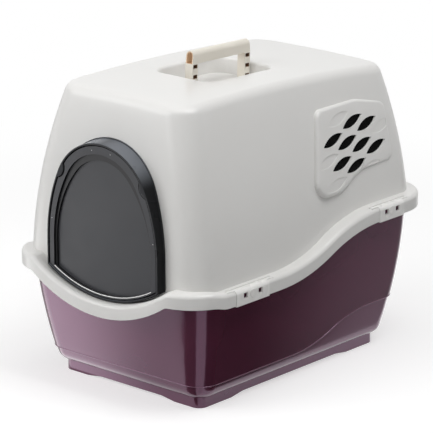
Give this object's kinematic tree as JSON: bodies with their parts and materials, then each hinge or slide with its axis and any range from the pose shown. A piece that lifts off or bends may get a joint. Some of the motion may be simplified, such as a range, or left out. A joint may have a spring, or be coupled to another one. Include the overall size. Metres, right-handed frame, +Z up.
{
  "type": "covered litter box",
  "caption": "Covered cat litter box: a deep tray, a lift-off vented hood, a two-way swing flap in a collar, hinged side clips and a push-down carry handle.",
  "frame": {"origin": "centre of the outline on the plane that the feet stand on", "axes": "+X to the right as seen from the door, +Y from the door to the rear, +Z up"},
  "size_m": [0.3572, 0.5, 0.4423],
  "materials": {
    "tray_plum": "high gloss moulded plastic, wine",
    "hood_white": "warm white gloss moulded plastic",
    "collar_black": "black gloss moulded plastic",
    "flap_smoke": "smoked grey moulded plastic",
    "handle_ivory": "ivory gloss moulded plastic",
    "clip_white": "warm white gloss moulded plastic",
    "filter_charcoal": "black non-woven filter felt",
    "holder_white": "white matt moulded plastic"
  },
  "bodies": {
    "base": {"base_pan": "tray_plum"},
    "hood_body": {"hood": "hood_white", "door_frame": "collar_black", "filter_pad_right": "filter_charcoal", "filter_pad_left": "filter_charcoal", "filter_holder_right": "holder_white", "filter_holder_left": "holder_white"},
    "flap": {"door_flap": "flap_smoke"},
    "handle": {"carry_handle": "handle_ivory"},
    "front_right_clip": {"clip_front_right": "clip_white"},
    "front_left_clip": {"clip_front_left": "clip_white"},
    "rear_right_clip": {"clip_rear_right": "clip_white"},
    "rear_left_clip": {"clip_rear_left": "clip_white"}
  },
  "joints": [
    {"name": "hood_lift", "type": "slide", "parent": "base", "child": "hood_body", "axis": [0, 0, 1], "range_m": [0, 0.15]},
    {"name": "flap_swing", "type": "hinge", "parent": "hood_body", "child": "flap", "pos_m": [0, -0.2338, 0.306], "axis": [1, 0, 0], "range_deg": [-85, 60]},
    {"name": "handle_slide", "type": "slide", "parent": "hood_body", "child": "handle", "axis": [0, -0.0331, -0.9995], "range_m": [0, 0.037]},
    {"name": "front_right_clip_turn", "type": "hinge", "parent": "hood_body", "child": "front_right_clip", "pos_m": [0.1682, -0.1425, 0.17065], "axis": [0, -1, 0], "range_deg": [0, 90]},
    {"name": "front_left_clip_turn", "type": "hinge", "parent": "hood_body", "child": "front_left_clip", "pos_m": [-0.1682, -0.1425, 0.17065], "axis": [0, 1, 0], "range_deg": [0, 90]},
    {"name": "rear_right_clip_turn", "type": "hinge", "parent": "hood_body", "child": "rear_right_clip", "pos_m": [0.1682, 0.147, 0.21665], "axis": [0, -1, 0], "range_deg": [0, 90]},
    {"name": "rear_left_clip_turn", "type": "hinge", "parent": "hood_body", "child": "rear_left_clip", "pos_m": [-0.1682, 0.147, 0.21665], "axis": [0, 1, 0], "range_deg": [0, 90]}
  ]
}
